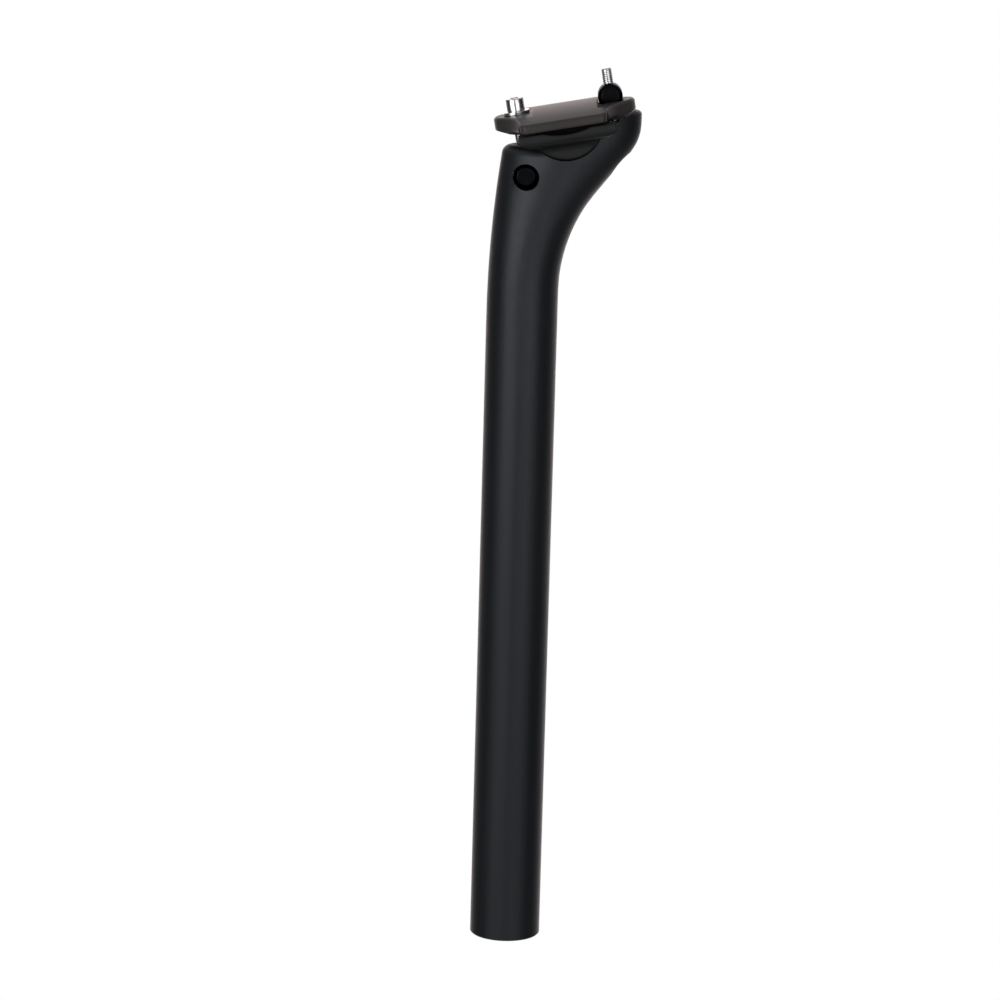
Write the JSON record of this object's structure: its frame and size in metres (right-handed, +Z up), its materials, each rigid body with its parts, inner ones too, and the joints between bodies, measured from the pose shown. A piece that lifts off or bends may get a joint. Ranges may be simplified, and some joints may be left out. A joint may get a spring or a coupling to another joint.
{
  "type": "bicycle seatpost",
  "caption": "Round hollow seatpost with a set-back head and a rocking clamp, drawn down by a front and a rear bolt, that grips the saddle rails and sets their tilt",
  "frame": {"origin": "centre of the tube's lower end", "axes": "+Z runs up the tube, +X points to the rear, the way the head is set back, and +Y points to the left as seen from the front, so that XZ is the plane of symmetry"},
  "size_m": [0.0569, 0.0536, 0.3414],
  "materials": {
    "post_skin": "matte black carbon composite with a thin satin lacquer",
    "clamp_alloy": "forged aluminium, bead blasted and black anodised",
    "nut_alloy": "turned aluminium, black anodised, smoother than the clamp",
    "bolt_steel": "bright stainless steel"
  },
  "bodies": {
    "post": {"post": "post_skin"},
    "clamp": {"lower_cradle": "clamp_alloy", "upper_clamp": "clamp_alloy"},
    "front_nut": {"front_barrel_nut": "nut_alloy"},
    "front_bolt": {"front_bolt": "bolt_steel", "front_washer": "bolt_steel"},
    "rear_bolt": {"rear_bolt": "bolt_steel", "rear_washer": "bolt_steel"},
    "rear_nut": {"rear_barrel_nut": "nut_alloy"}
  },
  "joints": [
    {"name": "saddle_tilt", "type": "hinge", "parent": "post", "child": "clamp", "pos_m": [0.0144, 0, 0.3218], "axis": [0, -1, 0], "range_deg": [-1, 10]},
    {"name": "front_nut_turn", "type": "hinge", "parent": "post", "child": "front_nut", "pos_m": [0.00009, 0, 0.30023], "axis": [0, -1, 0], "range_deg": [-0.36, 3.53]},
    {"name": "front_bolt_travel", "type": "slide", "parent": "front_nut", "child": "front_bolt", "axis": [-0.1822, 0, 0.9833], "range_m": [-0.00322, 0.00033]},
    {"name": "rear_bolt_swing", "type": "hinge", "parent": "post", "child": "rear_bolt", "pos_m": [0.03526, 0, 0.30802], "axis": [0, -1, 0], "range_deg": [-0.28, 2.73]},
    {"name": "rear_nut_travel", "type": "slide", "parent": "rear_bolt", "child": "rear_nut", "axis": [-0.1822, 0, 0.9833], "range_m": [-0.00031, 0.0031]}
  ],
  "couplings": [
    {"joint": "front_nut_turn", "follows": "saddle_tilt", "ratio": 0.352},
    {"joint": "front_bolt_travel", "follows": "saddle_tilt", "m_per_rad": -0.0184},
    {"joint": "rear_bolt_swing", "follows": "saddle_tilt", "ratio": 0.272},
    {"joint": "rear_nut_travel", "follows": "saddle_tilt", "m_per_rad": 0.0177}
  ]
}
